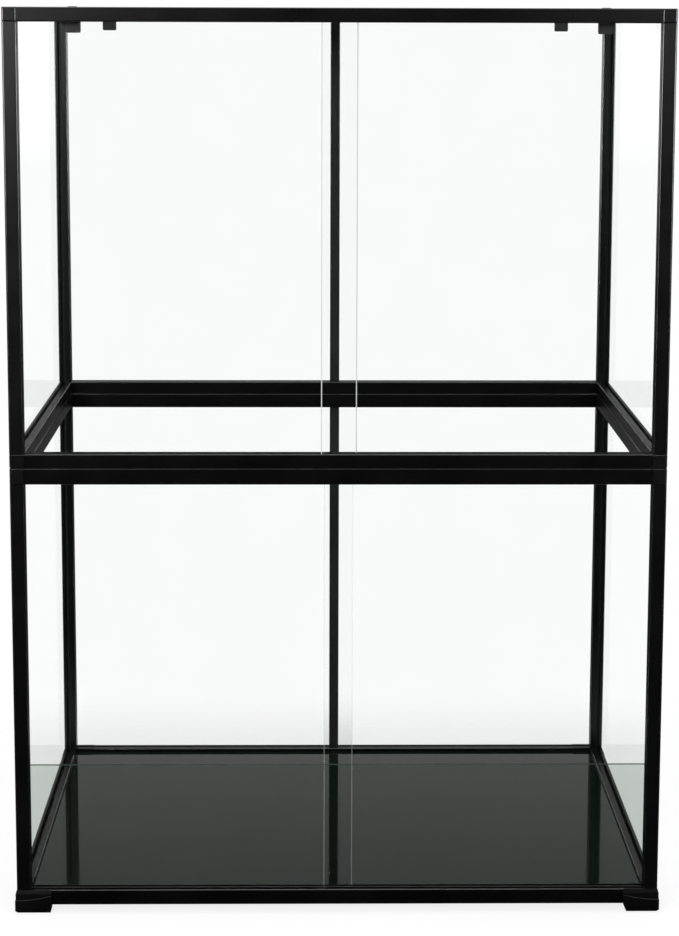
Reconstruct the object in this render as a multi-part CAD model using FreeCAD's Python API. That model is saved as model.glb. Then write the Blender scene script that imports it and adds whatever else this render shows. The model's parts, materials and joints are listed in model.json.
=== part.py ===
"""Two-storey glass reptile terrarium with sliding front doors and a lift-off screen lid.

Units are millimetres. X runs left to right, Y from the front to the rear and Z up.
The origin is on the ground, under the middle of the frame.
"""
import FreeCAD
import Part
import os
from FreeCAD import Vector

# Frame over the faces of its posts, and the height of each storey without the feet
WIDTH = 914.0
DEPTH = 610.0
LOWER_HEIGHT = 634.0
UPPER_HEIGHT = 634.0

# Extruded frame sections
FRAME = 20.0
FRAME_WALL = 2.0
EDGE_ROUND = 1.8
CORNER_ROUND = 3.0
BASE_RAIL_HEIGHT = 22.0
LOWER_TOP_RAIL_HEIGHT = 23.0
UPPER_BASE_RAIL_HEIGHT = 20.0
TOP_RAIL_HEIGHT = 20.0

# Plugs of the moulded corners, which push into the rails and posts
SPIGOT_LENGTH = 30.0
SPIGOT_FIT = 0.2
STACK_PEG = 8.0
STACK_PEG_HEIGHT = 7.0
STACK_PEG_FIT = 0.3

# Corner feet
FOOT_DROP = 12.0
FOOT_LENGTH = 49.0
FOOT_PROUD = 2.4
FOOT_SHOULDER = 8.0
FOOT_CHAMFER = 3.5
FOOT_CREASE_STEP = 0.8
FOOT_CREASE_LOW = 19.0
FOOT_CREASE_RISE = 7.0
FOOT_CREASE_SAG = 1.75
FOOT_TOE_SHORT = 1.5
FOOT_TOE_LONG = 5.0

# Fixed glass and its slots in the frame
GLASS = 5.0
GLASS_ARRIS = 0.5
PANE_SETBACK = 5.25
PANE_BITE = 8.0
PANE_CLEARANCE = 0.25
PANE_EDGE_GAP = 0.5
STRIP_WIDTH = 15.5
STRIP_WEB = 2.0
STRIP_FLANGE = 2.0
STRIP_ROUND = 1.0

# Floor glass and the fixed pane that holds the bedding back
FLOOR_GLASS = 6.0
FLOOR_BITE = 7.0
FLOOR_RAISE = 10.5
DAM_GLASS = 5.0
DAM_HEIGHT = 183.0

# Sliding doors and their two-groove tracks
DOOR_GLASS = 5.0
DOOR_EDGE_ROUND = 2.0
DOOR_SIDE_CLEARANCE = 0.5
DOOR_RUNNING_GAP = 0.3
DOOR_END_BITE = 3.0
DOOR_END_GAP = 1.0
DOOR_HEAD_BITE = 5.0
TRACK_FACE = 2.5
TRACK_RIB = 3.5
TRACK_SILL_DEPTH = 4.0
TRACK_HEAD_DEPTH = 10.0
LOWER_DOOR_OVERLAP = 41.0
UPPER_DOOR_OVERLAP = 50.0

# Screen lid, lying on a ledge inside the top rails
LEDGE_WIDTH = 12.0
LEDGE_THICKNESS = 3.0
LID_BAR_WIDTH = 30.0
LID_BAR_HEIGHT = 10.0
LID_SIDE_GAP = 0.6
LID_SEAT_GAP = 0.3
MESH_THICKNESS = 1.0
MESH_BITE = 5.0
MESH_SLOT_GAP = 0.2
MESH_EDGE_GAP = 0.5
MESH_WIRE = 2.0
MESH_COLUMNS = 20
MESH_ROWS = 14

# Turn latches of the lid
LATCH_INSET = 92.0
LATCH_STEM_RADIUS = 4.0
LATCH_STEM_CLEARANCE = 0.4
LATCH_HUB_RADIUS = 6.0
LATCH_LEDGE_GAP = 1.0
LATCH_PLAY = 0.3
LATCH_DROP = 35.0
LATCH_GRIP_WIDTH = 21.5
LATCH_GRIP_THICKNESS = 6.0
LATCH_GRIP_ROUND = 2.5
TONGUE_WIDTH = 9.0
TONGUE_THICKNESS = 4.0
TONGUE_GAP = 0.4
TONGUE_TIP_GAP = 1.5
SCREW_RADIUS = 1.5
SCREW_CLEARANCE = 0.2
SCREW_LENGTH = 12.0
SCREW_HEAD_RADIUS = 7.0
SCREW_HEAD_HEIGHT = 2.0
SCREW_HEAD_ROUND = 1.5
SCREW_RECESS = 1.4
SCREW_RECESS_FIT = 0.5
SCREW_SLOT_WIDTH = 1.2
SCREW_SLOT_LENGTH = 7.0
SCREW_SLOT_DEPTH = 0.8

# Places that follow from the sizes above
HALF_WIDTH = WIDTH / 2
HALF_DEPTH = DEPTH / 2
INNER_X = HALF_WIDTH - FRAME
INNER_Y = HALF_DEPTH - FRAME
BASE_Z = FOOT_DROP
BASE_TOP = BASE_Z + BASE_RAIL_HEIGHT
JOINT_Z = BASE_Z + LOWER_HEIGHT
LOWER_TOP_Z = JOINT_Z - LOWER_TOP_RAIL_HEIGHT
UPPER_BASE_TOP = JOINT_Z + UPPER_BASE_RAIL_HEIGHT
TOP_Z = JOINT_Z + UPPER_HEIGHT
TOP_RAIL_Z = TOP_Z - TOP_RAIL_HEIGHT
FLOOR_Z = BASE_Z + FLOOR_RAISE
FLOOR_TOP = FLOOR_Z + FLOOR_GLASS
POST_CHAMBER = FRAME - PANE_BITE - 2 * FRAME_WALL
TRACK_GROOVE = DOOR_GLASS + 2 * DOOR_SIDE_CLEARANCE
DOOR_POCKET = DOOR_END_BITE + DOOR_END_GAP
LID_Z = TOP_Z - LID_BAR_HEIGHT
LEDGE_TOP = LID_Z - LID_SEAT_GAP
LEDGE_Z = LEDGE_TOP - LEDGE_THICKNESS
LATCH_X = HALF_WIDTH - LATCH_INSET
LATCH_AXIS = FRAME + LEDGE_WIDTH + LATCH_LEDGE_GAP + LATCH_HUB_RADIUS
SCREW_FLOOR = TOP_Z - SCREW_RECESS
STEM_TOP = SCREW_FLOOR + LATCH_PLAY

SIDES = ("front", "rear", "left", "right")
CORNERS = {"front_left": (-1, -1), "front_right": (1, -1), "rear_left": (-1, 1), "rear_right": (1, 1)}
UNITS = {
    "lower": (BASE_TOP, LOWER_TOP_Z, LOWER_DOOR_OVERLAP),
    "upper": (UPPER_BASE_TOP, TOP_RAIL_Z, UPPER_DOOR_OVERLAP),
}


class Ring:
    """One ring of four rails: its heights, which way its slots open and where its rails end."""

    def __init__(self, z0, z1, opens_up, corner, floor_bite):
        self.z0 = z0
        self.z1 = z1
        self.opens_up = opens_up
        self.corner = corner
        self.chamber_inner = FRAME - FRAME_WALL - floor_bite

    def chamber_z(self, side):
        """Lowest and highest height of the hollow inside this ring's rail on one side."""
        slot = PANE_BITE
        if side == "front":
            slot = TRACK_SILL_DEPTH if self.opens_up else TRACK_HEAD_DEPTH
        if self.opens_up:
            return self.z0 + FRAME_WALL, self.z1 - slot - FRAME_WALL
        return self.z0 + slot + FRAME_WALL, self.z1 - FRAME_WALL


BASE_RING = Ring(BASE_Z, BASE_TOP, True, FOOT_LENGTH, FLOOR_BITE)
LOWER_TOP_RING = Ring(LOWER_TOP_Z, JOINT_Z, False, FRAME, 0.0)
UPPER_BASE_RING = Ring(JOINT_Z, UPPER_BASE_TOP, True, FRAME, 0.0)
TOP_RING = Ring(TOP_RAIL_Z, TOP_Z, False, FRAME, 0.0)


def box(x0, x1, y0, y1, z0, z1):
    """Box between two corners, given in any order."""
    low = Vector(min(x0, x1), min(y0, y1), min(z0, z1))
    return Part.makeBox(abs(x1 - x0), abs(y1 - y0), abs(z1 - z0), low)


def side_box(side, along0, along1, deep0, deep1, z0, z1):
    """Box on one side of the frame: along its rail, and inwards from its outer face."""
    if side in ("front", "rear"):
        sign = -1 if side == "front" else 1
        return box(along0, along1, sign * (HALF_DEPTH - deep0), sign * (HALF_DEPTH - deep1), z0, z1)
    sign = -1 if side == "left" else 1
    return box(sign * (HALF_WIDTH - deep0), sign * (HALF_WIDTH - deep1), along0, along1, z0, z1)


def corner_box(corner, low, high, z0, z1):
    """Square box in one corner of the frame, measured inwards from both outer faces."""
    sx, sy = CORNERS[corner]
    return box(sx * (HALF_WIDTH - low), sx * (HALF_WIDTH - high),
               sy * (HALF_DEPTH - low), sy * (HALF_DEPTH - high), z0, z1)


def half_run(side):
    """Half the outer length of one side of the frame."""
    return HALF_WIDTH if side in ("front", "rear") else HALF_DEPTH


def corner_sides(corner):
    """The two sides that meet in a corner, with the sign of the corner along each of them."""
    sx, sy = CORNERS[corner]
    return (("front" if sy < 0 else "rear"), sx), (("left" if sx < 0 else "right"), sy)


def along_edges(shape, axis):
    """The straight edges of a box that run along one axis."""
    found = []
    for edge in shape.Edges:
        start, end = (vertex.Point for vertex in edge.Vertexes)
        if abs((end - start).normalize().dot(axis)) > 0.999:
            found.append(edge)
    return found


def off_corner(corner, point):
    """How far a point lies inside the two outer faces that meet at a corner."""
    sx, sy = CORNERS[corner]
    return HALF_WIDTH - sx * point.x, HALF_DEPTH - sy * point.y


def rounded_corner(shape, corner):
    """Upright box at a corner with its outer edge rounded, and its other upright edges."""
    uprights = along_edges(shape, Vector(0, 0, 1))
    outer = [edge for edge in uprights if max(off_corner(corner, edge.CenterOfMass)) < FRAME / 2]
    shape = shape.makeFillet(CORNER_ROUND, outer)
    uprights = along_edges(shape, Vector(0, 0, 1))
    return shape, [edge for edge in uprights if max(off_corner(corner, edge.CenterOfMass)) > FRAME / 2]


def rounded_bar(shape, axis, radius):
    """Box with the four edges along its length rounded."""
    return shape.makeFillet(radius, along_edges(shape, axis))


def cut_all(shape, tools):
    """Shape with every pocket that reaches it cut out."""
    for tool in tools:
        if shape.BoundBox.intersect(tool.BoundBox):
            shape = shape.cut(tool)
    return shape


def export(node, shape):
    """Write one piece, or a group of like pieces, as its own file."""
    shape.removeSplitter().exportStep("parts/" + node + ".step")


def glass_sheet(shape):
    """Pane with its sharp edges ground off."""
    return shape.makeChamfer(GLASS_ARRIS, shape.Edges)


def pane_run(side):
    """Half the length of the slot for the panes on one side, post slot to post slot."""
    return half_run(side) - FRAME + PANE_BITE


def pane_pocket(side, z0, z1):
    """Slot that holds the fixed panes of one side, in the rails and posts around them."""
    run = pane_run(side)
    return side_box(side, -run, run, PANE_SETBACK - PANE_CLEARANCE, PANE_SETBACK + GLASS + PANE_CLEARANCE,
                    z0 - PANE_BITE, z1 + PANE_BITE)


def pane(side, along0, along1, z0, z1):
    """Fixed pane, standing on the bottom of its slot."""
    return glass_sheet(side_box(side, along0, along1, PANE_SETBACK, PANE_SETBACK + GLASS,
                                z0 - PANE_BITE, z1 + PANE_BITE - PANE_EDGE_GAP))


def groove_face(hand):
    """Depth behind the front face where a door's groove starts: right door in front, left behind."""
    if hand == "right":
        return TRACK_FACE
    return TRACK_FACE + TRACK_GROOVE + TRACK_RIB


def door_pocket(hand, z0, z1):
    """Grooves of one door in the sill, the head and both posts."""
    deep = groove_face(hand)
    run = INNER_X + DOOR_POCKET
    return side_box("front", -run, run, deep, deep + TRACK_GROOVE,
                    z0 - TRACK_SILL_DEPTH, z1 + TRACK_HEAD_DEPTH)


def door(hand, z0, z1, overlap):
    """Sliding glass door in its closed place, with all its edges rounded."""
    deep = groove_face(hand) + DOOR_SIDE_CLEARANCE
    sign = 1 if hand == "right" else -1
    shape = side_box("front", sign * (INNER_X + DOOR_END_BITE), -sign * overlap / 2, deep, deep + DOOR_GLASS,
                     z0 - TRACK_SILL_DEPTH + DOOR_RUNNING_GAP, z1 + DOOR_HEAD_BITE)
    return shape.makeFillet(DOOR_EDGE_ROUND, shape.Edges)


def rear_strip(z0, z1):
    """Upright strip of H section that joins the two rear panes."""
    outer = PANE_SETBACK - PANE_CLEARANCE - STRIP_FLANGE
    inner = PANE_SETBACK + GLASS + PANE_CLEARANCE + STRIP_FLANGE
    half = STRIP_WIDTH / 2
    shape = rounded_bar(side_box("rear", -half, half, outer, inner, z0, z1), Vector(0, 0, 1), STRIP_ROUND)
    for sign in (-1, 1):
        shape = shape.cut(side_box("rear", sign * STRIP_WEB / 2, sign * STRIP_WIDTH, outer + STRIP_FLANGE,
                                   inner - STRIP_FLANGE, z0, z1))
    return shape


def floor_slab(gap):
    """Floor glass, or its seat in the base rails when the gap is nothing."""
    x = INNER_X + FLOOR_BITE - gap
    y = INNER_Y + FLOOR_BITE - gap
    return box(-x, x, -y, y, FLOOR_Z, FLOOR_TOP)


def dam_slab(gap, z1):
    """Pane behind the doors that holds the bedding back, or its slot in the front feet."""
    x = HALF_WIDTH - PANE_SETBACK - GLASS - gap
    return side_box("front", -x, x, FRAME, FRAME + DAM_GLASS, FLOOR_TOP, z1)


def frame_pockets():
    """Everything that the frame pieces make room for."""
    pockets = [floor_slab(0.0), dam_slab(0.0, BASE_TOP)]
    for z0, z1, _ in UNITS.values():
        pockets += [pane_pocket(side, z0, z1) for side in ("rear", "left", "right")]
        pockets += [door_pocket(hand, z0, z1) for hand in ("left", "right")]
    return pockets


def rail(ring, side, pockets):
    """Hollow rail of one ring, between two corners."""
    run = half_run(side)
    end = run - ring.corner
    axis = Vector(1, 0, 0) if side in ("front", "rear") else Vector(0, 1, 0)
    shape = rounded_bar(side_box(side, -end, end, 0, FRAME, ring.z0, ring.z1), axis, EDGE_ROUND)
    if ring is TOP_RING:
        ledge_end = end if side in ("front", "rear") else end - LEDGE_WIDTH
        shape = shape.fuse(side_box(side, -ledge_end, ledge_end, FRAME - FRAME_WALL, FRAME + LEDGE_WIDTH,
                                    LEDGE_Z, LEDGE_TOP))
    low, high = ring.chamber_z(side)
    shape = shape.cut(side_box(side, -run, run, FRAME_WALL, ring.chamber_inner, low, high))
    return cut_all(shape, pockets)


def post(corner, z0, z1, pockets):
    """Hollow upright of one unit."""
    shape, uprights = rounded_corner(corner_box(corner, 0, FRAME, z0, z1), corner)
    shape = shape.makeFillet(EDGE_ROUND, uprights)
    shape = shape.cut(corner_box(corner, FRAME_WALL, FRAME_WALL + POST_CHAMBER, z0, z1))
    return cut_all(shape, pockets)


def rail_spigot(ring, side, sign):
    """Plug from a corner into the end of one rail."""
    start = half_run(side) - ring.corner
    low, high = ring.chamber_z(side)
    return side_box(side, sign * (start + FRAME_WALL), sign * (start - SPIGOT_LENGTH),
                    FRAME_WALL + SPIGOT_FIT, ring.chamber_inner - SPIGOT_FIT,
                    low + SPIGOT_FIT, high - SPIGOT_FIT)


def post_spigot(corner, z0, z1):
    """Plug from a corner into the end of a post."""
    return corner_box(corner, FRAME_WALL + SPIGOT_FIT, FRAME_WALL + POST_CHAMBER - SPIGOT_FIT, z0, z1)


def stack_peg(corner, size, height):
    """Square peg, or its socket, that keeps the upper unit in place on the lower one."""
    middle = FRAME / 2
    return corner_box(corner, middle - size / 2, middle + size / 2, JOINT_Z - height, JOINT_Z + FRAME_WALL)


def corner_block(ring, corner, pockets):
    """Moulded corner that joins two rails and a post."""
    shape, uprights = rounded_corner(corner_box(corner, 0, FRAME, ring.z0, ring.z1), corner)
    level = [edge for edge in shape.Edges if edge.BoundBox.ZLength < EDGE_ROUND]
    shape = shape.makeFillet(EDGE_ROUND, uprights + level)
    for side, sign in corner_sides(corner):
        shape = shape.fuse(rail_spigot(ring, side, sign))
    if ring.opens_up:
        shape = shape.fuse(post_spigot(corner, ring.z1 - FRAME_WALL, ring.z1 + SPIGOT_LENGTH))
    else:
        shape = shape.fuse(post_spigot(corner, ring.z0 - SPIGOT_LENGTH, ring.z0 + FRAME_WALL))
    if ring is UPPER_BASE_RING:
        shape = shape.fuse(stack_peg(corner, STACK_PEG, STACK_PEG_HEIGHT))
    if ring is LOWER_TOP_RING:
        socket = STACK_PEG + 2 * STACK_PEG_FIT
        shape = shape.cut(stack_peg(corner, socket, STACK_PEG_HEIGHT + STACK_PEG_FIT))
    return cut_all(shape, pockets)


def prism(points, direction):
    """Solid swept from a flat outline."""
    return Part.Face(Part.makePolygon(points + points[:1])).extrude(direction)


def foot_blank():
    """Foot with its outer corner at the origin and its legs along +X and +Y."""
    reach = FOOT_LENGTH + FOOT_PROUD
    profile = [(FOOT_CHAMFER - FOOT_PROUD, 0), (-FOOT_PROUD, FOOT_CHAMFER),
               (-FOOT_PROUD, BASE_TOP - FOOT_SHOULDER), (0, BASE_TOP),
               (FOOT_LENGTH, BASE_TOP), (FOOT_LENGTH, 0)]
    over_y = prism([Vector(-FOOT_PROUD, d, z) for d, z in profile], Vector(reach, 0, 0))
    over_x = prism([Vector(d, -FOOT_PROUD, z) for d, z in profile], Vector(0, reach, 0))
    shape = over_y.common(over_x)
    shape = shape.cut(box(FRAME, reach, FRAME, reach, 0, BASE_TOP))
    toe_x = [(FOOT_LENGTH, FOOT_DROP), (FOOT_LENGTH - FOOT_TOE_SHORT, 0), (FOOT_LENGTH, 0)]
    toe_y = [(FOOT_LENGTH, FOOT_DROP), (FOOT_LENGTH - FOOT_TOE_LONG, 0), (FOOT_LENGTH, 0)]
    shape = shape.cut(prism([Vector(a, -FOOT_PROUD, z) for a, z in toe_x], Vector(0, reach, 0)))
    shape = shape.cut(prism([Vector(-FOOT_PROUD, a, z) for a, z in toe_y], Vector(reach, 0, 0)))
    crease = foot_crease()
    shape = shape.cut(crease)
    return shape.cut(crease.mirror(Vector(0, 0, 0), Vector(1, -1, 0)))


def foot_crease():
    """Thin slice above a curved line on the front of a foot, which leaves a raised skirt below it."""
    start = Vector(-FOOT_PROUD, -FOOT_PROUD, FOOT_CREASE_LOW)
    middle = Vector(FOOT_LENGTH / 2, -FOOT_PROUD, FOOT_CREASE_LOW + FOOT_CREASE_SAG)
    end = Vector(FOOT_LENGTH, -FOOT_PROUD, FOOT_CREASE_LOW + FOOT_CREASE_RISE)
    above_end = Vector(end.x, end.y, BASE_TOP)
    above_start = Vector(start.x, start.y, BASE_TOP)
    edges = [Part.Arc(start, middle, end).toShape()]
    for first, second in ((end, above_end), (above_end, above_start), (above_start, start)):
        edges.append(Part.makeLine(first, second))
    return Part.Face(Part.Wire(edges)).extrude(Vector(0, FOOT_CREASE_STEP, 0))


def foot(corner, pockets):
    """Corner foot: one moulding, turned to its corner, that joins two base rails and a post."""
    turns = {"front_left": 0, "front_right": 90, "rear_right": 180, "rear_left": 270}
    sx, sy = CORNERS[corner]
    shape = foot_blank()
    shape.rotate(Vector(0, 0, 0), Vector(0, 0, 1), turns[corner])
    shape.translate(Vector(sx * HALF_WIDTH, sy * HALF_DEPTH, 0))
    for side, sign in corner_sides(corner):
        shape = shape.fuse(rail_spigot(BASE_RING, side, sign))
    shape = shape.fuse(post_spigot(corner, BASE_TOP - FRAME_WALL, BASE_TOP + SPIGOT_LENGTH))
    return cut_all(shape, pockets)


def lid_bar(side):
    """Bar of the lid's frame, with a slot for the edge of the mesh."""
    outer = FRAME + LID_SIDE_GAP
    inner = outer + LID_BAR_WIDTH
    end = half_run(side) - outer
    axis = Vector(1, 0, 0)
    if side in ("left", "right"):
        end -= LID_BAR_WIDTH
        axis = Vector(0, 1, 0)
    shape = rounded_bar(side_box(side, -end, end, outer, inner, LID_Z, TOP_Z), axis, EDGE_ROUND)
    x, y, z0 = mesh_reach(0.0)
    shape = shape.cut(box(-x, x, -y, y, z0, z0 + MESH_THICKNESS + MESH_SLOT_GAP))
    if side in ("front", "rear"):
        for sx in (-1, 1):
            hole = LATCH_STEM_RADIUS + LATCH_STEM_CLEARANCE
            recess = SCREW_HEAD_RADIUS + SCREW_RECESS_FIT
            shape = shape.cut(Part.makeCylinder(hole, LID_BAR_HEIGHT, latch_place(sx, side, LID_Z)))
            shape = shape.cut(Part.makeCylinder(recess, SCREW_RECESS, latch_place(sx, side, SCREW_FLOOR)))
    return shape


def mesh_reach(gap):
    """Half sizes of the mesh in X and Y, and the height of its underside."""
    inset = FRAME + LID_SIDE_GAP + LID_BAR_WIDTH - MESH_BITE + gap
    return HALF_WIDTH - inset, HALF_DEPTH - inset, LID_Z + (LID_BAR_HEIGHT - MESH_THICKNESS) / 2


def rectangle(x0, x1, y0, y1, z):
    """Closed outline of a flat rectangle."""
    return Part.makePolygon([Vector(x0, y0, z), Vector(x1, y0, z), Vector(x1, y1, z), Vector(x0, y1, z),
                             Vector(x0, y0, z)])


def lid_mesh():
    """Ventilation mesh of the lid, as one flat net."""
    x, y, z0 = mesh_reach(MESH_EDGE_GAP)
    open_x = x - MESH_BITE
    open_y = y - MESH_BITE
    step_x = 2 * open_x / MESH_COLUMNS
    step_y = 2 * open_y / MESH_ROWS
    outlines = [rectangle(-x, x, -y, y, z0)]
    for column in range(MESH_COLUMNS):
        for row in range(MESH_ROWS):
            left = -open_x + column * step_x + MESH_WIRE / 2
            front = -open_y + row * step_y + MESH_WIRE / 2
            outlines.append(rectangle(left, left + step_x - MESH_WIRE, front, front + step_y - MESH_WIRE, z0))
    return Part.makeFace(outlines, "Part::FaceMakerBullseye").extrude(Vector(0, 0, MESH_THICKNESS))


def latch_place(sx, side, z):
    """Point on the turning axis of one latch."""
    sy = -1 if side == "front" else 1
    return Vector(sx * LATCH_X, sy * (HALF_DEPTH - LATCH_AXIS), z)


def latch(sx, side):
    """Turn latch under the lid, in its unlocked place: tongue and grip along the rail."""
    tongue_top = LEDGE_Z - TONGUE_GAP
    tongue_z = tongue_top - TONGUE_THICKNESS
    grip_z = TOP_Z - LATCH_DROP
    hub_top = LID_Z - LATCH_PLAY
    reach = LATCH_AXIS - FRAME - TONGUE_TIP_GAP
    half_tongue = TONGUE_WIDTH / 2
    tongue = box(0, -(reach - half_tongue), -half_tongue, half_tongue, tongue_z, tongue_top)
    tip = Part.makeCylinder(half_tongue, TONGUE_THICKNESS, Vector(-(reach - half_tongue), 0, tongue_z))
    half_grip = LATCH_GRIP_WIDTH / 2
    half_thick = LATCH_GRIP_THICKNESS / 2
    grip = box(-half_grip, half_grip, -half_thick, half_thick, grip_z, tongue_top)
    corners = along_edges(grip, Vector(0, 1, 0))
    lower_corners = [edge for edge in corners if edge.CenterOfMass.z < grip_z + half_thick]
    grip = grip.makeFillet(LATCH_GRIP_ROUND, lower_corners)
    hub = Part.makeCylinder(LATCH_HUB_RADIUS, hub_top - tongue_z, Vector(0, 0, tongue_z))
    stem = Part.makeCylinder(LATCH_STEM_RADIUS, STEM_TOP - tongue_z, Vector(0, 0, tongue_z))
    shape = hub.fuse([stem, tongue, tip, grip]).removeSplitter()
    bore_radius = SCREW_RADIUS + SCREW_CLEARANCE
    bore_length = SCREW_LENGTH + SCREW_CLEARANCE
    shape = shape.cut(Part.makeCylinder(bore_radius, bore_length, Vector(0, 0, STEM_TOP - bore_length)))
    if side == "rear":
        shape.rotate(Vector(0, 0, 0), Vector(0, 0, 1), 180)
    shape.translate(latch_place(sx, side, 0))
    return shape


def latch_screw(sx, side):
    """Slotted screw in the top of a latch stem, whose wide head holds the latch up in the lid."""
    head = Part.makeCylinder(SCREW_HEAD_RADIUS, SCREW_HEAD_HEIGHT, Vector(0, 0, STEM_TOP))
    half_height = SCREW_HEAD_HEIGHT / 2
    circles = [edge for edge in head.Edges if len(edge.Vertexes) == 1]
    rim = [edge for edge in circles if edge.CenterOfMass.z > STEM_TOP + half_height]
    head = head.makeFillet(SCREW_HEAD_ROUND, rim)
    half_length = SCREW_SLOT_LENGTH / 2
    half_slot = SCREW_SLOT_WIDTH / 2
    top = STEM_TOP + SCREW_HEAD_HEIGHT
    head = head.cut(box(-half_length, half_length, -half_slot, half_slot, top - SCREW_SLOT_DEPTH, top))
    thread = Vector(0, 0, STEM_TOP - SCREW_LENGTH)
    shape = head.fuse(Part.makeCylinder(SCREW_RADIUS, SCREW_LENGTH + half_height, thread))
    shape.translate(latch_place(sx, side, 0))
    return shape


os.makedirs("parts", exist_ok=True)
POCKETS = frame_pockets()

# Rails of the four rings
RINGS = {"base": BASE_RING, "lower_top": LOWER_TOP_RING, "upper_base": UPPER_BASE_RING, "top": TOP_RING}
for ring_name, ring in RINGS.items():
    for side in SIDES:
        export(ring_name + "_rail_" + side, rail(ring, side, POCKETS))

# Corners: feet at the base, moulded blocks above
for corner in CORNERS:
    export("foot_" + corner, foot(corner, POCKETS))
for ring_name in ("lower_top", "upper_base", "top"):
    blocks = [corner_block(RINGS[ring_name], corner, POCKETS) for corner in CORNERS]
    export(ring_name + "_corners", Part.makeCompound(blocks))

# Posts, panes, strips and doors of the two units
for unit, (z0, z1, overlap) in UNITS.items():
    for corner in CORNERS:
        export(unit + "_post_" + corner, post(corner, z0, z1, POCKETS))
    side_run = pane_run("left") - PANE_EDGE_GAP
    rear_run = pane_run("rear") - PANE_EDGE_GAP
    rear_gap = STRIP_WEB / 2 + PANE_EDGE_GAP
    for side in ("left", "right"):
        export(unit + "_side_glass_" + side, pane(side, -side_run, side_run, z0, z1))
    export(unit + "_rear_glass_left", pane("rear", -rear_run, -rear_gap, z0, z1))
    export(unit + "_rear_glass_right", pane("rear", rear_gap, rear_run, z0, z1))
    export(unit + "_rear_strip", rear_strip(z0, z1))
    for hand in ("left", "right"):
        export(unit + "_door_" + hand, door(hand, z0, z1, overlap))

# Floor glass and bedding dam
export("floor_panel", glass_sheet(floor_slab(PANE_EDGE_GAP)))
export("substrate_dam", glass_sheet(dam_slab(PANE_EDGE_GAP, FLOOR_TOP + DAM_HEIGHT)))

# Screen lid with its latches
for side in SIDES:
    export("lid_bar_" + side, lid_bar(side))
export("lid_mesh", lid_mesh())
for side in ("front", "rear"):
    for hand, sx in (("left", -1), ("right", 1)):
        export("lid_latch_" + side + "_" + hand, latch(sx, side))
        export("latch_screw_" + side + "_" + hand, latch_screw(sx, side))
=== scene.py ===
"""Looks of the glass terrarium: its materials, the lid's wire screen, the studio and the camera."""

import json
import math

import bmesh
import bpy
from mathutils import Matrix, Vector


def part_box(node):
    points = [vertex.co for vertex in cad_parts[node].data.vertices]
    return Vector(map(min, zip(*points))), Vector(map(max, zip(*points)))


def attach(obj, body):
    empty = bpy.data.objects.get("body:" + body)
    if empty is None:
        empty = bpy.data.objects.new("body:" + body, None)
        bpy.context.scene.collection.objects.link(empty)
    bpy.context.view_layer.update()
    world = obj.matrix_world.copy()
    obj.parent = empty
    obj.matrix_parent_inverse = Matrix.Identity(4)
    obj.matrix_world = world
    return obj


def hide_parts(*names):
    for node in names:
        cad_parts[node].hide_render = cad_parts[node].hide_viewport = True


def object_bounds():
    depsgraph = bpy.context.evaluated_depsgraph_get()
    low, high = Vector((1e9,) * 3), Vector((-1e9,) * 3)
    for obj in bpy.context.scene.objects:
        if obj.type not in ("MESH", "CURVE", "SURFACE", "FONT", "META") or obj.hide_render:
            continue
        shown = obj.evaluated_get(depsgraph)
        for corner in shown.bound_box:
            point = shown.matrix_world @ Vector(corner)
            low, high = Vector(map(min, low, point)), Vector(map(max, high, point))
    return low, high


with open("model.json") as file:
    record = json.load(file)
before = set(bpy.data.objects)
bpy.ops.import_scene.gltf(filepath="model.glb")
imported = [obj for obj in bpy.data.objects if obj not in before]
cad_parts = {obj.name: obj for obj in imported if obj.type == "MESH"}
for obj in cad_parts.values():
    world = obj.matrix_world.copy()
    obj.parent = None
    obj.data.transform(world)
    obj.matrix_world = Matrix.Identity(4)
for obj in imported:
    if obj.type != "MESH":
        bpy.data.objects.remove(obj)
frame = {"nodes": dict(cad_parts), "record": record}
CAD_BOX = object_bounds()
LOW, HIGH = CAD_BOX
MIDDLE = (LOW + HIGH) / 2
HALF = (HIGH - LOW) / 2

# Camera: where it stands, how it is turned, and its lens on a 36 mm sensor along the picture's height.
CAMERA_AT = Vector((-0.0372, -3.2, 1.268))
CAMERA_YAW = math.radians(0.739)
CAMERA_PITCH = math.radians(-7.628)
CAMERA_ROLL = math.radians(0.163)
CAMERA_LENS = 81.8
CAMERA_SHIFT_Y = -0.178

# Light on the object: an even level all round, and three lamps that aim at its middle.
WHITE = (1.0, 1.0, 1.0, 1.0)
AMBIENT = 0.5
LAMPS = {
    "key": {"at": (-1.3, -3.0, 1.6), "size": (0.5, 0.5), "watts": 21.0},
    "fill": {"at": (1.3, -3.0, 1.6), "size": (0.5, 0.5), "watts": 7.5},
    "top": {"at": (0.0, -0.4, 3.4), "size": (1.6, 1.6), "watts": 24.0},
}

# A ray counts as mirrored from its first glossy bounce on.
HALF_A_BOUNCE = 0.5

# The room in reflections, by direction: walls that are dim in front, and a ceiling that is dimmed high up.
ROOM_FRONT_AT, ROOM_BACK_AT = -0.3, 0.5
ROOM_FRONT, ROOM_BACK = 0.015, 0.10
CEILING_AXIS = (0.0, 0.25, 1.0)
CEILING_FROM, CEILING_FULL = 0.42, 0.56
CEILING = 0.70
CEILING_DIM_FROM, CEILING_DIM_TO, CEILING_DIMMED = 0.32, 0.42, 0.62

# Behind the object, a white sheet that only sharp reflections show, and a bright band at eye level.
SHEET_SIDE, SHEET_MIDDLE = 0.75, 0.93
SHEET_TOP, SHEET_FULL = 0.28, 0.08
BAND_BELOW, BAND_FROM, BAND_TO, BAND_ABOVE = -0.11, -0.04, 0.05, 0.10
BAND = 1.6

# On each side, a low bright window for the rounded upright edges. The axis is the right one's.
WINDOW_AXIS = (0.82, -0.57, 0.0)
WINDOW_SIDE, WINDOW_FULL = 0.934, 0.961
WINDOW_BELOW, WINDOW_FROM, WINDOW_TO, WINDOW_ABOVE = -0.085, -0.02, 0.0, 0.03
WINDOW = 15.0

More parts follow.
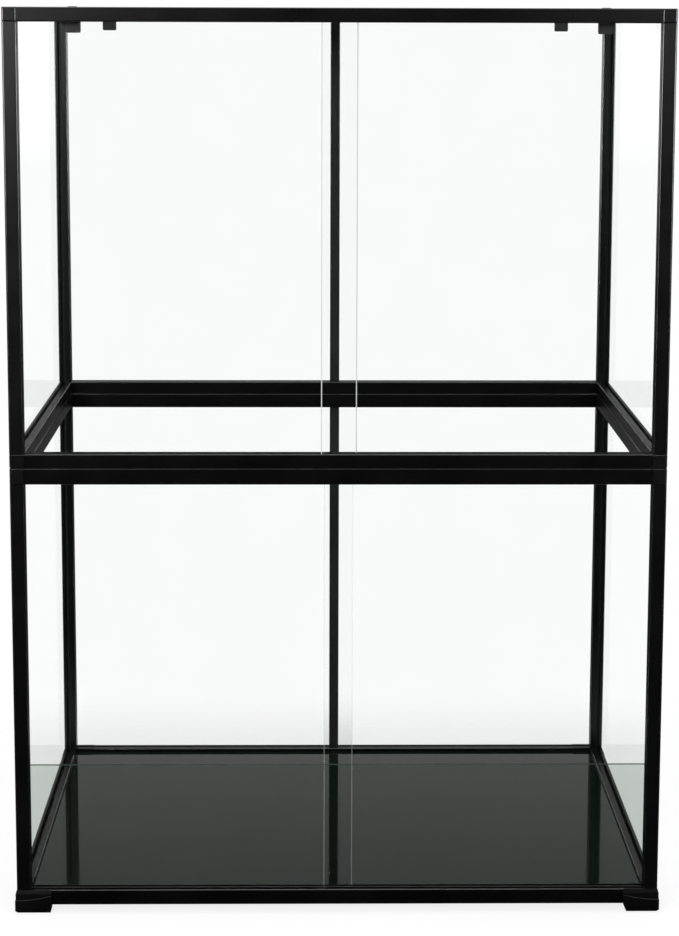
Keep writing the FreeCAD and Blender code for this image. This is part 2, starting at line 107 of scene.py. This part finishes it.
# Floor: pale and lifted towards white, less so behind many panes as painted shade, dark where its front is
# mirrored, and fading out into the room with the distance from the object.
FLOOR_HALF = 6.0
FLOOR_CLOUD = 0.4
FLOOR_TONES = (0.26, 0.26, 0.26), (0.28, 0.28, 0.28)
FLOOR_LIFT = 0.82
FLOOR_SHADE = (0.02, 0.02, 0.02, 1.0)
FLOOR_FRONT, FLOOR_BACK = -0.3, 0.0
FLOOR_FADE_NEAR, FLOOR_FADE_FAR = 0.02, 0.40
GLASS_FACES_FEW, GLASS_FACES_MANY, FLOOR_PAINTED_SHADE_BEHIND_GLASS = 2.0, 6.0, 0.72

# Grain: broad mottling, fine bumps, and die lines along an extrusion. Sizes and depths are in metres.
NOISE_LOW, NOISE_HIGH = 0.3, 0.7
BROAD = 0.09
COAT_GRAIN, COAT_DEPTH = 0.0011, 0.00006
MOULDING_GRAIN, MOULDING_DEPTH = 0.0005, 0.00008
GRAIN_DETAIL, GRAIN_STRENGTH = 2.0, 0.5
DIE_LINE, DIE_STRETCH = 0.0016, 0.01
DIE_DETAIL, DIE_STRENGTH = 1.0, 0.3

# Black finishes: dark and light tones, the range of roughness, and gloss. Uprights run along the third axis.
UPRIGHT = 2
PLAIN_GLOSS = 0.5
EXTRUSION_TONES = (0.0016, 0.0016, 0.0017), (0.0032, 0.0032, 0.0034)
STRIP_TONES = (0.0215, 0.0215, 0.0218), (0.0255, 0.0255, 0.0258)
EXTRUSION_ROUGH = 0.28, 0.33
UPRIGHT_GLOSS, RAIL_GLOSS = 0.40, 0.25
MOULDING_TONES = (0.0020, 0.0020, 0.0021), (0.0042, 0.0042, 0.0044)
MOULDING_ROUGH = 0.36, 0.44
MOULDING_GLOSS = 0.25
# Latches: the front ones have their own dark tone; the rear ones get a much lighter tone as painted light,
# where the lamps leave them in shade.
LATCH_TONES_AND_PAINTED_LIGHT = {
    "front": ((0.018, 0.018, 0.0182), (0.024, 0.024, 0.0242)),
    "rear": ((0.070, 0.070, 0.0705), (0.082, 0.082, 0.0825)),
}
LATCH_ROUGH = 0.40, 0.50
SCREW_TONES = (0.006, 0.006, 0.007), (0.012, 0.012, 0.013)
SCREW_ROUGH = 0.30, 0.42
SCREW_METAL = 0.7
WIRE_TONES = (0.006, 0.006, 0.006), (0.014, 0.014, 0.014)
WIRE_ROUGH = 0.35, 0.5

# Wear: rounded edges are the faces turned to no axis. A foot's crease is a ledge that faces up, low on it,
# with a pale painted highlight.
BURNISHED_TONES = (0.004, 0.004, 0.0042), (0.007, 0.007, 0.0072)
BURNISHED_ROUGH = 0.15, 0.21
BURNISHED_GLOSS = 1.0
EDGE_TURN = 0.985
CREASE_HIGHLIGHT_TONES = (0.15, 0.15, 0.152), (0.20, 0.20, 0.202)
CREASE_BELOW, CREASE_TURN = 0.030, 0.9

# Glass: a pane's tint, how much it mirrors head-on and flatly, its edges, and the dark floor pane.
GLASS_TONES = (0.994, 0.998, 0.996), (0.997, 1.0, 0.998)
DAM_TONES = (0.922, 0.948, 0.928), (0.932, 0.957, 0.938)
MIRROR_HEAD_ON, MIRROR_FLAT = 0.010, 0.13
FACING_BLEND, FRESNEL_POWER = 0.5, 5.0
PANE_FACE_TURN = 0.97
EDGE_ROUGH = 0.35, 0.5
GROUND_EDGE_TONES = (0.93, 0.96, 0.945), (0.97, 0.99, 0.98)
GROUND_EDGE_PASSES = (0.98, 1.0, 0.99)
# Painted light: the upper doors' edges scatter a far larger share of pale colour than the lower doors', so
# they show brighter lines.
GROUND_EDGE_PAINTED_LIGHT_SHARES = {"upper": 0.85, "lower": 0.11}
POLISHED_EDGE_TONES = (0.020, 0.040, 0.030), (0.035, 0.060, 0.048)
POLISHED_EDGE_PASSES = (0.55, 0.68, 0.62)
POLISHED_EDGE_SHARE = 0.6
FLOOR_GLASS_TONES = (0.0052, 0.0105, 0.0072), (0.0068, 0.0130, 0.0092)
FLOOR_GLASS_ROUGH = 0.03, 0.07
FLOOR_GLASS_GLOSS = 0.2

# Lid screen: two crossing layers of straight wire, welded where they touch.
WIRE_PITCH = 0.0028
WIRE_RADIUS = 0.0003
WIRE_SIDES = 6


class Graph:
    """A node tree that is being filled."""

    def __init__(self, owner):
        owner.use_nodes = True
        self.tree = owner.node_tree
        self.tree.nodes.clear()

    def add(self, kind, sockets=None, **settings):
        """Makes a node. A socket's value is a link if it is another node's output."""
        node = self.tree.nodes.new(kind)
        for key, value in settings.items():
            setattr(node, key, value)
        for key, value in (sockets or {}).items():
            if isinstance(value, bpy.types.NodeSocket):
                self.tree.links.new(value, node.inputs[key])
            else:
                node.inputs[key].default_value = value
        return node

    def shader(self, kind, sockets=None):
        """A shader node's output, which is its only one."""
        return self.add(kind, sockets).outputs[0]

    def math(self, operation, first, second=0.0):
        """One calculation with numbers."""
        return self.add("ShaderNodeMath", {0: first, 1: second}, operation=operation).outputs["Value"]

    def either(self, first, second):
        """The larger of two values."""
        return self.math("MAXIMUM", first, second)

    def vector(self, operation, first, second=(0.0, 0.0, 0.0)):
        """One calculation with vectors. The result is in the output Vector or, if it is a number, Value."""
        return self.add("ShaderNodeVectorMath", {0: first, 1: second}, operation=operation).outputs

    def ramp(self, value, start, end, low=0.0, high=1.0, smooth=True):
        """A number that goes from low to high as the value goes from start to end."""
        sockets = {"Value": value, "From Min": start, "From Max": end, "To Min": low, "To Max": high}
        course = "SMOOTHSTEP" if smooth else "LINEAR"
        return self.add("ShaderNodeMapRange", sockets, interpolation_type=course).outputs["Result"]

    def between(self, value, below, start, end, above, level=1.0):
        """That level from start to end, fading to nothing at below and above."""
        rising = self.ramp(value, below, start, 0.0, level)
        return self.math("MULTIPLY", rising, self.ramp(value, above, end))

    def noise(self, size, detail=GRAIN_DETAIL, stretch=(1, 1, 1)):
        """Noise with features of about that size in metres."""
        place = self.add("ShaderNodeTexCoord").outputs["Object"]
        stretched = self.add("ShaderNodeMapping", {"Vector": place, "Scale": stretch}).outputs["Vector"]
        sockets = {"Vector": stretched, "Scale": 1 / size, "Detail": detail}
        return self.add("ShaderNodeTexNoise", sockets).outputs["Fac"]

    def spread(self, value, low, high):
        """A noise value, which stays near the middle, from low to high."""
        return self.ramp(value, NOISE_LOW, NOISE_HIGH, low, high, smooth=False)

    def tones(self, value, pair):
        """A noise value as a colour between two tones."""
        ramp = self.add("ShaderNodeValToRGB", {"Fac": value})
        for element, position, tone in zip(ramp.color_ramp.elements, (NOISE_LOW, NOISE_HIGH), pair):
            element.position = position
            element.color = (*tone, 1.0)
        return ramp.outputs["Color"]

    def bump(self, height, strength, depth, under=None):
        """A bumpy normal, over another one if it is given."""
        sockets = {"Height": height, "Strength": strength, "Distance": depth}
        if under is not None:
            sockets["Normal"] = under
        return self.add("ShaderNodeBump", sockets).outputs["Normal"]

    def seen(self, path):
        """1 on a ray from the camera, straight or through glass."""
        return self.either(path["Is Camera Ray"], path["Is Transmission Ray"])

    def mirrored(self, path):
        """1 on a ray that a glossy surface has turned."""
        return self.math("GREATER_THAN", path["Glossy Depth"], HALF_A_BOUNCE)

    def mix(self, share, first, second):
        """Two shaders, with that share of the second."""
        return self.shader("ShaderNodeMixShader", {0: share, 1: first, 2: second})

    def show(self, shader, output="ShaderNodeOutputMaterial"):
        """Ends the tree with that shader."""
        self.add(output, {"Surface": shader})


def coated(name, pair, rough, grain, depth, lines=None, gloss=PLAIN_GLOSS, metal=0.0):
    """A coated or moulded surface: mottled tone and roughness, a fine grain, die lines on an extrusion."""
    material = bpy.data.materials.new(name)
    graph = Graph(material)
    bump = graph.bump(graph.noise(grain), GRAIN_STRENGTH, depth)
    if lines:
        bump = graph.bump(graph.noise(DIE_LINE, DIE_DETAIL, lines), DIE_STRENGTH, depth, bump)
    graph.show(graph.shader("ShaderNodeBsdfPrincipled", {
        "Base Color": graph.tones(graph.noise(BROAD), pair),
        "Roughness": graph.spread(graph.noise(BROAD / 2), *rough),
        "Normal": bump,
        "Specular IOR Level": gloss,
        "Metallic": metal,
    }))
    return material


def extrusion(name, axis, pair):
    """The frame's satin black bars, with faint die lines along that axis."""
    lines = [1.0, 1.0, 1.0]
    lines[axis] = DIE_STRETCH
    gloss = UPRIGHT_GLOSS if axis == UPRIGHT else RAIL_GLOSS
    return coated(name, pair, EXTRUSION_ROUGH, COAT_GRAIN, COAT_DEPTH, lines, gloss)


def clear_glass(name, pair):
    """A pane's clear face: light goes straight through, faintly tinted. Seen flatly, it mirrors more."""
    material = bpy.data.materials.new(name)
    graph = Graph(material)
    facing = graph.add("ShaderNodeLayerWeight", {"Blend": FACING_BLEND}).outputs["Facing"]
    flatly = graph.math("POWER", facing, FRESNEL_POWER)
    share = graph.ramp(flatly, 0.0, 1.0, MIRROR_HEAD_ON, MIRROR_FLAT, smooth=False)
    through = graph.shader("ShaderNodeBsdfTransparent", {"Color": graph.tones(graph.noise(BROAD), pair)})
    mirror = graph.shader("ShaderNodeBsdfGlossy", {"Color": WHITE, "Roughness": 0.0})
    graph.show(graph.mix(share, through, mirror))
    return material


def glass_edge(name, tint, pair, share):
    """A pane's edge: part of the light goes through with a tint, and that share is scattered."""
    material = bpy.data.materials.new(name)
    graph = Graph(material)
    through = graph.shader("ShaderNodeBsdfTransparent", {"Color": (*tint, 1.0)})
    ground = graph.shader("ShaderNodeBsdfPrincipled", {
        "Base Color": graph.tones(graph.noise(BROAD / 4), pair),
        "Roughness": graph.spread(graph.noise(BROAD / 8), *EDGE_ROUGH),
    })
    graph.show(graph.mix(share, through, ground))
    return material


def floor_glass(name):
    """The dark floor pane: polished, with a little dust."""
    material = bpy.data.materials.new(name)
    graph = Graph(material)
    graph.show(graph.shader("ShaderNodeBsdfPrincipled", {
        "Base Color": graph.tones(graph.noise(BROAD), FLOOR_GLASS_TONES),
        "Roughness": graph.spread(graph.noise(BROAD / 2), *FLOOR_GLASS_ROUGH),
        "Specular IOR Level": FLOOR_GLASS_GLOSS,
    }))
    return material


def studio_floor(name):
    """A pale floor that takes the object's shadow near it and fades into the white room."""
    material = bpy.data.materials.new(name)
    graph = Graph(material)
    path = graph.add("ShaderNodeLightPath").outputs
    place = graph.add("ShaderNodeTexCoord").outputs["Object"]
    shown = graph.either(graph.seen(path), path["Is Glossy Ray"])
    # Painted shade: seen through many glass faces, the floor is lifted less and shows greyer.
    lifted = graph.ramp(path["Transparent Depth"], GLASS_FACES_FEW, GLASS_FACES_MANY,
                        FLOOR_LIFT, FLOOR_LIFT * FLOOR_PAINTED_SHADE_BEHIND_GLASS, smooth=False)
    strength = graph.math("MULTIPLY", shown, lifted)
    lift = graph.shader("ShaderNodeEmission", {"Color": WHITE, "Strength": strength})
    cloudy = graph.tones(graph.noise(FLOOR_CLOUD), FLOOR_TONES)
    matt = graph.shader("ShaderNodeBsdfDiffuse", {"Color": cloudy})
    paper = graph.shader("ShaderNodeAddShader", {0: matt, 1: lift})
    across = graph.add("ShaderNodeSeparateXYZ", {"Vector": place}).outputs["Y"]
    front = graph.ramp(across, FLOOR_BACK, FLOOR_FRONT)
    shade = graph.shader("ShaderNodeBsdfDiffuse", {"Color": FLOOR_SHADE})
    near = graph.mix(graph.math("MULTIPLY", graph.mirrored(path), front), paper, shade)
    folded = graph.vector("ABSOLUTE", place)["Vector"]
    past = graph.vector("SUBTRACT", folded, (HALF.x, HALF.y, 0.0))["Vector"]
    outside = graph.vector("MAXIMUM", past)["Vector"]
    away = graph.vector("LENGTH", outside)["Value"]
    clear = graph.shader("ShaderNodeBsdfTransparent")
    graph.show(graph.mix(graph.ramp(away, FLOOR_FADE_NEAR, FLOOR_FADE_FAR), near, clear))
    return material


def room_level(graph, path):
    """How bright the room is in reflections, by direction."""
    direction = graph.add("ShaderNodeTexCoord").outputs["Generated"]
    parts = graph.add("ShaderNodeSeparateXYZ", {"Vector": direction}).outputs
    wall = graph.ramp(parts["Y"], ROOM_FRONT_AT, ROOM_BACK_AT, ROOM_FRONT, ROOM_BACK)
    upward = graph.vector("DOT_PRODUCT", direction, CEILING_AXIS)["Value"]
    ceiling = graph.ramp(upward, CEILING_FROM, CEILING_FULL, 0.0, CEILING)
    dim = graph.ramp(parts["Z"], CEILING_DIM_FROM, CEILING_DIM_TO, 1.0, CEILING_DIMMED, smooth=False)
    plain = graph.either(wall, graph.math("MULTIPLY", ceiling, dim))
    behind = graph.ramp(parts["Y"], SHEET_SIDE, SHEET_MIDDLE)
    hung = graph.math("MULTIPLY", behind, graph.ramp(parts["Z"], SHEET_TOP, SHEET_FULL))
    sheet = graph.math("MULTIPLY", hung, path["Is Singular Ray"])
    line = graph.between(parts["Z"], BAND_BELOW, BAND_FROM, BAND_TO, BAND_ABOVE, BAND)
    band = graph.math("MULTIPLY", behind, line)
    sides = {"X": graph.math("ABSOLUTE", parts["X"]), "Y": parts["Y"], "Z": parts["Z"]}
    either_side = graph.add("ShaderNodeCombineXYZ", sides).outputs["Vector"]
    sideways = graph.vector("DOT_PRODUCT", either_side, WINDOW_AXIS)["Value"]
    pane = graph.ramp(sideways, WINDOW_SIDE, WINDOW_FULL, 0.0, WINDOW)
    low = graph.between(parts["Z"], WINDOW_BELOW, WINDOW_FROM, WINDOW_TO, WINDOW_ABOVE)
    window = graph.math("MULTIPLY", pane, low)
    return graph.either(graph.either(plain, band), graph.either(sheet, window))


def light_room():
    """White to the camera, straight or through glass, plain light on the object, a room in reflections."""
    world = bpy.data.worlds.new("studio")
    bpy.context.scene.world = world
    graph = Graph(world)
    path = graph.add("ShaderNodeLightPath").outputs
    seen = graph.seen(path)
    plain = graph.shader("ShaderNodeBackground", {"Color": WHITE, "Strength": AMBIENT})
    white = graph.shader("ShaderNodeBackground", {"Color": WHITE, "Strength": 1.0})
    room = graph.shader("ShaderNodeBackground", {"Color": WHITE, "Strength": room_level(graph, path)})
    turned = graph.math("MULTIPLY", graph.mirrored(path), graph.either(path["Is Glossy Ray"], seen))
    graph.show(graph.mix(turned, graph.mix(seen, plain, white), room), "ShaderNodeOutputWorld")


def add_object(name, data):
    """A new object in the scene."""
    thing = bpy.data.objects.new(name, data)
    bpy.context.scene.collection.objects.link(thing)
    return thing


def lay_floor():
    """The studio's floor, as one square."""
    mesh = bpy.data.meshes.new("studio_floor")
    corners = [(-FLOOR_HALF, -FLOOR_HALF, 0), (FLOOR_HALF, -FLOOR_HALF, 0),
               (FLOOR_HALF, FLOOR_HALF, 0), (-FLOOR_HALF, FLOOR_HALF, 0)]
    mesh.from_pydata(corners, [], [(0, 1, 2, 3)])
    mesh.materials.append(studio_floor("studio_floor"))
    add_object("studio_floor", mesh)


def hang_lamps():
    """The lamps, which the camera doesn't see, straight or through glass."""
    for name, lamp in LAMPS.items():
        light = bpy.data.lights.new(name, "AREA")
        light.shape = "RECTANGLE"
        light.size, light.size_y = lamp["size"]
        light.energy = lamp["watts"]
        hung = add_object(name, light)
        hung.location = lamp["at"]
        hung.visible_camera = False
        hung.visible_transmission = False
        hung.rotation_euler = (MIDDLE - hung.location).to_track_quat("-Z", "Y").to_euler()


def set_camera():
    """The camera, turned to its yaw and pitch, then rolled."""
    level = math.cos(CAMERA_PITCH)
    ahead = Vector((math.sin(CAMERA_YAW) * level, math.cos(CAMERA_YAW) * level, math.sin(CAMERA_PITCH)))
    right = Vector((math.cos(CAMERA_YAW), -math.sin(CAMERA_YAW), 0.0))
    turn = Matrix((right, right.cross(ahead), -ahead)).transposed() @ Matrix.Rotation(CAMERA_ROLL, 3, "Z")
    data = bpy.data.cameras.new("camera")
    data.lens = CAMERA_LENS
    data.shift_y = CAMERA_SHIFT_Y
    camera = add_object("camera", data)
    camera.matrix_world = Matrix.Translation(CAMERA_AT) @ turn.to_4x4()
    bpy.context.scene.camera = camera


def add_wire(work, start, end):
    """A straight wire between two points, as a prism with closed ends."""
    along = (end - start).normalized()
    across = Vector((0, 0, 1))
    beside = along.cross(across)
    rings = []
    for point in (start, end):
        ring = []
        for step in range(WIRE_SIDES):
            angle = 2 * math.pi * step / WIRE_SIDES
            way = math.cos(angle) * beside + math.sin(angle) * across
            ring.append(work.verts.new(point + WIRE_RADIUS * way))
        rings.append(ring)
    for step in range(WIRE_SIDES):
        after = (step + 1) % WIRE_SIDES
        face = work.faces.new((rings[0][step], rings[1][step], rings[1][after], rings[0][after]))
        face.smooth = True
    work.faces.new(rings[0])
    work.faces.new(reversed(rings[1]))


def weld_screen(material):
    """The lid's wire screen, in place of the coarse net."""
    low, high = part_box("lid_mesh")
    work = bmesh.new()
    for axis, height in ((0, low.z + WIRE_RADIUS), (1, high.z - WIRE_RADIUS)):
        other = 1 - axis
        span = high[other] - low[other] - 2 * WIRE_RADIUS
        count = round(span / WIRE_PITCH)
        step = span / count
        for index in range(count + 1):
            start, end = Vector((0, 0, height)), Vector((0, 0, height))
            start[axis], end[axis] = low[axis], high[axis]
            start[other] = end[other] = low[other] + WIRE_RADIUS + index * step
            add_wire(work, start, end)
    bmesh.ops.recalc_face_normals(work, faces=work.faces)
    mesh = bpy.data.meshes.new("wire_screen")
    work.to_mesh(mesh)
    work.free()
    mesh.materials.append(material)
    screen = add_object("wire_screen", mesh)
    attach(screen, "screen_lid")
    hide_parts("lid_mesh")


def dress_pane(thing, glass, edge):
    """Clear faces and scattering edges: a face is an edge if it is turned away from the pane's thin way."""
    low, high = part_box(thing.name)
    sizes = list(high - low)
    thin = sizes.index(min(sizes))
    thing.data.materials.clear()
    thing.data.materials.append(glass)
    thing.data.materials.append(edge)
    for face in thing.data.polygons:
        face.material_index = 0 if abs(face.normal[thin]) > PANE_FACE_TURN else 1


def burnish(thing, edge):
    """A smoother finish on the rounded edges."""
    thing.data.materials.append(edge)
    for face in thing.data.polygons:
        if max(abs(way) for way in face.normal) < EDGE_TURN:
            face.material_index = 1


def paint_crease_highlight(thing, painted_highlight):
    """A painted highlight: a paler colour on the thin ledge of a foot's crease."""
    thing.data.materials.append(painted_highlight)
    for face in thing.data.polygons:
        if face.normal.z > CREASE_TURN and face.center.z < CREASE_BELOW:
            face.material_index = 1


def dress_glass(slots):
    """Gives each clear pane its faces and its edges."""
    clear = clear_glass("clear_glass", GLASS_TONES)
    tinted = clear_glass("dam_glass", DAM_TONES)
    # Painted light: the upper and lower doors' edges differ only in how much they scatter.
    ground = {unit: glass_edge(f"ground_glass_edge_{unit}", GROUND_EDGE_PASSES, GROUND_EDGE_TONES, share)
              for unit, share in GROUND_EDGE_PAINTED_LIGHT_SHARES.items()}
    polished = glass_edge("polished_glass_edge", POLISHED_EDGE_PASSES, POLISHED_EDGE_TONES,
                          POLISHED_EDGE_SHARE)
    for node, thing in frame["nodes"].items():
        if slots[node] == "clear_glass":
            unit = node.split("_")[0]
            edge = ground[unit] if "_door_" in node else polished
            dress_pane(thing, tinted if node == "substrate_dam" else clear, edge)


def dress_frame(slots):
    """Gives each other CAD piece the finish of its slot and its worn edges, with painted light: lighter rear
    latches and a pale highlight on each foot's crease.
    """
    bars = [extrusion(f"black_extrusion_{letter}", axis, EXTRUSION_TONES)
            for axis, letter in enumerate("xyz")]
    strip = extrusion("black_strip", UPRIGHT, STRIP_TONES)
    moulding = coated("black_moulding", MOULDING_TONES, MOULDING_ROUGH, MOULDING_GRAIN, MOULDING_DEPTH,
                      gloss=MOULDING_GLOSS)
    knobs = {end: coated(f"black_latch_{end}", pair, LATCH_ROUGH, MOULDING_GRAIN, MOULDING_DEPTH)
             for end, pair in LATCH_TONES_AND_PAINTED_LIGHT.items()}
    painted_highlight = coated("crease_painted_highlight", CREASE_HIGHLIGHT_TONES, MOULDING_ROUGH, MOULDING_GRAIN, MOULDING_DEPTH)
    burnished = coated("burnished_edge", BURNISHED_TONES, BURNISHED_ROUGH, COAT_GRAIN, COAT_DEPTH / 2,
                       gloss=BURNISHED_GLOSS)
    screw = coated("black_screw", SCREW_TONES, SCREW_ROUGH, COAT_GRAIN, COAT_DEPTH, metal=SCREW_METAL)
    dark = floor_glass("dark_floor_glass")
    for node, thing in frame["nodes"].items():
        slot = slots[node]
        if slot == "clear_glass":
            continue
        if slot == "black_extrusion":
            low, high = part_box(node)
            sizes = list(high - low)
            finish = strip if "_strip" in node else bars[sizes.index(max(sizes))]
        elif slot == "black_moulding":
            # The rear latches take the lighter tones: painted light.
            end = "front" if "_front_" in node else "rear"
            finish = knobs[end] if "latch" in node else moulding
        else:
            finish = dark if slot == "dark_floor_glass" else screw
        thing.data.materials.clear()
        thing.data.materials.append(finish)
        if slot == "black_extrusion" or node.endswith("_corners"):
            burnish(thing, burnished)
        # Painted highlight along each foot's crease.
        if node.startswith("foot_"):
            paint_crease_highlight(thing, painted_highlight)


bpy.context.scene.view_settings.view_transform = "Standard"
light_room()
lay_floor()
hang_lamps()
set_camera()
NODE_SLOTS = {part["node"]: part["material_slot"] for part in frame["record"]["subparts"]}
dress_glass(NODE_SLOTS)
dress_frame(NODE_SLOTS)
weld_screen(coated("screen_wire", WIRE_TONES, WIRE_ROUGH, COAT_GRAIN, COAT_DEPTH))
